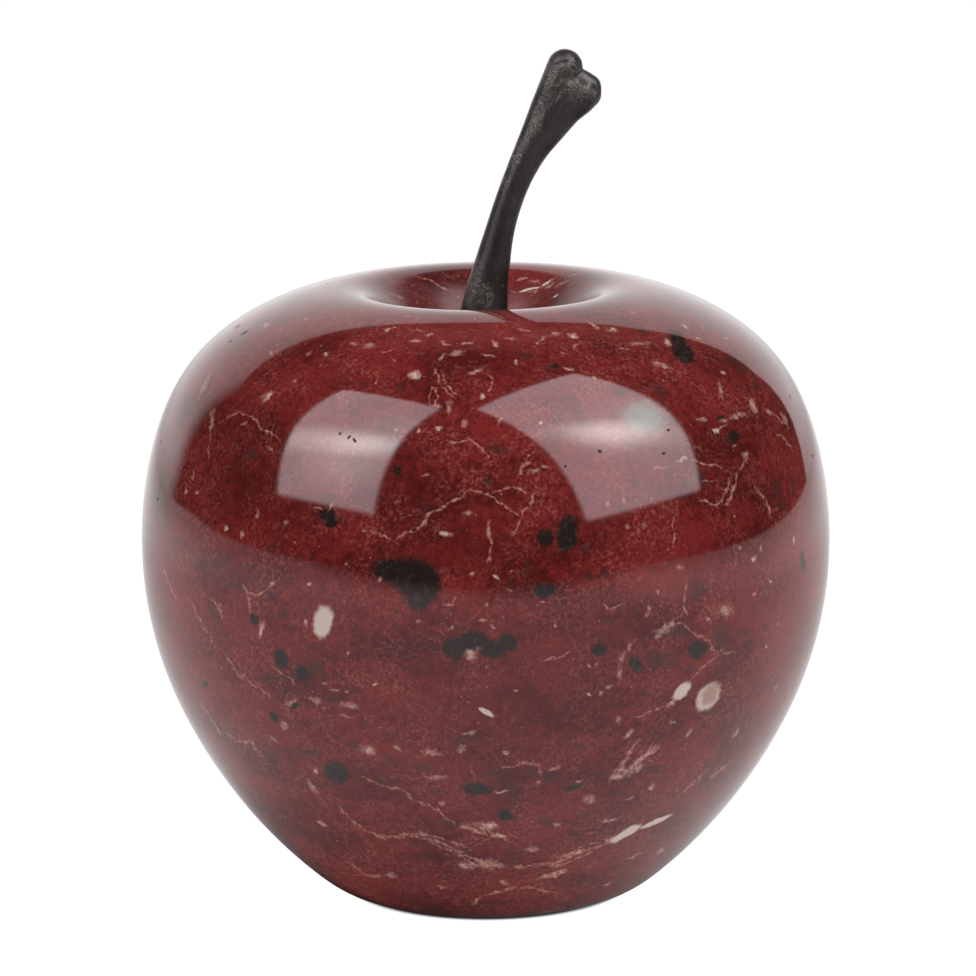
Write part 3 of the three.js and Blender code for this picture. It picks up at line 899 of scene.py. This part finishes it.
# A softbox's azimuth from the front and its rise, its corners, and its lamps.
LEFT_PLACE = (-48.7 * DEGREE, 41.3 * DEGREE)
LEFT_CORNERS = [(-0.491, -0.471), (0.21, -0.471), (0.1, 0.532), (-0.491, 0.532)]
LEFT_LAMPS = [
    (-230, -25, 540, 170, 12, 4.2), (5, 0, 320, 140, 12, 5.2), (-60, -170, 400, 260, 12, 2.3),
    (60, 180, 320, 260, 12, 1.3),
]
RIGHT_PLACE = (57.5 * DEGREE, 45.7 * DEGREE)
RIGHT_CORNERS = [(-0.48, -0.59), (0.395, -0.59), (0.395, 0.678), (-0.33, 0.678)]
RIGHT_LAMPS = [
    (-25, -18, 300, 190, -30, 5.2), (-10, 10, 600, 150, -30, 2.8), (110, 0, 520, 430, -30, 1.8),
]
LAMP_COLOUR = (1, 1.12, 1.02)

BACKDROP_AT = 0.5  # how far behind the apple the backdrop hangs
BACKDROP_CORNERS = [
    (-0.78, 0), (-0.78, 0.55), (-0.245, 0.5), (-0.085, 0.485), (0.193, 0.485), (0.297, 0.403),
    (0.412, 0.27), (0.43, 0.1), (0.484, 0),
]
TABLE_CORNERS = [(-1.2, -0.84), (0.77, -0.84), (0.77, -0.2), (0.484, BACKDROP_AT), (-1.2, BACKDROP_AT)]


def backdrop_cloth():
    """A lit cloth that is brightest low down and fades towards its top and left edges and at the table."""
    material, tree, surface = new_material("backdrop_cloth")
    place = step(tree, "TexCoord").outputs["Object"]
    parts = step(tree, "SeparateXYZ", {0: place})
    height = parts.outputs["Z"]
    low = times(tree, ramp(tree, height, 0.1, 0.4, 1.22, 0.88), ramp(tree, height, 0, 0.08, 0.66, 1))
    top = ramp(tree, height, 0.54, 0.45, 0.75, 1)
    left = soft_step(tree, parts.outputs["X"], -0.78, -0.52)
    light = step(tree, "Emission", {"Strength": times(tree, low, times(tree, top, left))})
    tree.links.new(light.outputs[0], surface)
    return material


def softbox_cloth(name, aim, turn, corners, lamps):
    """A lit cloth, dimmer along its edges and brighter where its lamps are. Each lamp is a long soft spot:
    how far it is to the right of the aim point and above it, its half length and half width, in
    millimetres, its turn in degrees, and how much it adds to the cloth's glow."""
    material, tree, surface = new_material(name)
    spot = step(tree, "TexCoord").outputs["Object"]
    spot = step(tree, "VectorMath", {0: spot, 1: aim}, operation="SUBTRACT").outputs[0]
    spot = step(tree, "VectorRotate", {
        "Vector": spot, "Rotation": turn.inverted().to_euler()}, rotation_type="EULER_XYZ").outputs[0]
    lit = (CLOTH_STRENGTH, CLOTH_STRENGTH, CLOTH_STRENGTH)
    for right, up, half_length, half_width, angle, added in lamps:
        middle = Vector((right, up, 0)) * MM
        turned = step(tree, "VectorRotate", {
            "Vector": spot, "Center": middle, "Angle": -angle * DEGREE}, rotation_type="Z_AXIS").outputs[0]
        offset = step(tree, "VectorMath", {0: turned, 1: middle}, operation="SUBTRACT").outputs[0]
        scale = (1 / (half_length * MM), 1 / (half_width * MM), 1)
        scaled = step(tree, "VectorMath", {0: offset, 1: scale}, operation="MULTIPLY").outputs[0]
        away = step(tree, "VectorMath", {0: scaled}, operation="LENGTH").outputs["Value"]
        lamp = times(tree, soft_step(tree, away, 1, 0), added)
        lit = step(tree, "VectorMath", {
            0: lamp, 1: LAMP_COLOUR, 2: lit}, operation="MULTIPLY_ADD").outputs[0]
    inside = 1
    for (x, y), (next_x, next_y) in zip(corners, [*corners[1:], corners[0]]):
        inward = Vector((y - next_y, next_x - x, 0)).normalized()
        offset = step(tree, "VectorMath", {0: spot, 1: (x, y, 0)}, operation="SUBTRACT").outputs[0]
        depth = step(tree, "VectorMath", {0: offset, 1: inward}, operation="DOT_PRODUCT").outputs["Value"]
        inside = times(tree, soft_step(tree, depth, 0, SOFTBOX_EDGE), inside)
    light = step(tree, "Emission", {"Color": lit, "Strength": inside})
    tree.links.new(light.outputs[0], surface)
    return material


def table_white():
    """White to the camera, except for a painted contact shadow: a thin dark ring around the foot.
    What the stone mirrors has a painted shadow near the foot, reaching further on the left, and is darker
    far in front. The light that the table throws is strongest near the stone, but painted shade fades it
    out right at the foot."""
    material, tree, surface = new_material("white_table")
    place = step(tree, "TexCoord").outputs["Object"]
    distance = step(tree, "VectorMath", {0: place}, operation="LENGTH").outputs["Value"]
    parts = step(tree, "SeparateXYZ", {0: place})
    side = parts.outputs["X"]
    aside = step(tree, "Math", {0: side}, operation="ABSOLUTE").outputs[0]
    ahead = step(tree, "Math", {
        0: aside, 1: 0.4, 2: parts.outputs["Y"]}, operation="MULTIPLY_ADD").outputs[0]
    # Painted contact shadow for camera rays: the table turns dark in a thin ring around the foot.
    seen = ramp(tree, distance, 15 * MM, 16.2 * MM, 0.02, 1.05)
    sideways = step(tree, "Math", {0: side, 1: 0.22, 2: distance}, operation="MULTIPLY_ADD").outputs[0]
    # Painted shadow in what the stone mirrors: dark close to the foot, and further out on the left.
    near = ramp(tree, sideways, 11 * MM, 43 * MM, 0, 0.8)
    beyond = times(tree, ramp(tree, distance, 150 * MM, 280 * MM, 1, 1.3),
                   ramp(tree, distance, 250 * MM, 700 * MM, 1, 0.65))
    front = ramp(tree, ahead, -600 * MM, -60 * MM, 0, 1)
    mirrored_with_painted_shadow = times(tree, times(tree, near, beyond), front)
    thrown_with_painted_shade = ramp(tree, distance, 60 * MM, 400 * MM, 1.75, 0.35)
    # Painted shade: the table's light fades out right beside the foot.
    thrown_with_painted_shade = times(tree, thrown_with_painted_shade, ramp(tree, distance, 13 * MM, 26 * MM, 0, 1))
    path = step(tree, "LightPath")
    strength = step(tree, "Mix", {0: path.outputs["Is Glossy Ray"], 2: thrown_with_painted_shade, 3: mirrored_with_painted_shadow}).outputs[0]
    strength = step(tree, "Mix", {0: path.outputs["Is Camera Ray"], 2: strength, 3: seen}).outputs[0]
    light = step(tree, "Emission", {"Strength": strength})
    tree.links.new(light.outputs[0], surface)
    return material


def flat_cloth(name, corners, material):
    shape = bmesh.new()
    shape.faces.new([shape.verts.new(corner) for corner in corners])
    return piece_from(name, shape, material)


def softbox(name, place, corners, lamps):
    """A flat lit panel that faces the apple. Its corners are given as seen from the apple: how far they
    are to the right of its aim point and above it."""
    azimuth, rise = place
    across = Vector((math.cos(azimuth), math.sin(azimuth), 0))
    outward = Vector((math.sin(azimuth), -math.cos(azimuth), 0))
    towards = outward * math.cos(rise) + Vector((0, 0, math.sin(rise)))
    up = towards.cross(across)
    aim = SOFTBOX_AIM + towards * SOFTBOX_DISTANCE
    turn = Matrix((across, up, towards)).transposed()
    places = [aim + across * x + up * y for x, y in corners]
    panel = flat_cloth(name, places, softbox_cloth(name, aim, turn, corners, lamps))
    panel.visible_camera = False


def studio():
    softbox("left_softbox", LEFT_PLACE, LEFT_CORNERS, LEFT_LAMPS)
    softbox("right_softbox", RIGHT_PLACE, RIGHT_CORNERS, RIGHT_LAMPS)
    backdrop = flat_cloth("backdrop", [(x, BACKDROP_AT, z) for x, z in BACKDROP_CORNERS], backdrop_cloth())
    backdrop.visible_camera = False
    table = flat_cloth("white_table", [(x, y, 0) for x, y in TABLE_CORNERS], table_white())


def set_world():
    """White to the camera, dark in reflections, and a weak even light elsewhere."""
    world = bpy.data.worlds.new("studio")
    bpy.context.scene.world = world
    world.use_nodes = True
    tree = world.node_tree
    tree.nodes.clear()
    path = step(tree, "LightPath")
    dim = step(tree, "Mix", {0: path.outputs["Is Glossy Ray"], 2: 0.15, 3: 0.03}).outputs[0]
    strength = step(tree, "Mix", {0: path.outputs["Is Camera Ray"], 2: dim, 3: 1.0}).outputs[0]
    background = step(tree, "Background", {"Color": (1, 1, 1, 1), "Strength": strength})
    output = step(tree, "OutputWorld")
    tree.links.new(background.outputs[0], output.inputs["Surface"])


# ---- The whole ornament ----

bpy.context.scene.view_settings.view_transform = "Standard"
set_camera()
set_world()
studio()

body = stone_body()
clad_in_marble(body)
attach(body, "root")
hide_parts("stone_body")

stem = cast_stem()
stem.data.materials.append(cast_metal(stem))
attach(stem, "root")
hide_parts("stem")

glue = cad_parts["stem_adhesive"]
glue.data.materials.clear()
glue.data.materials.append(cured_glue())
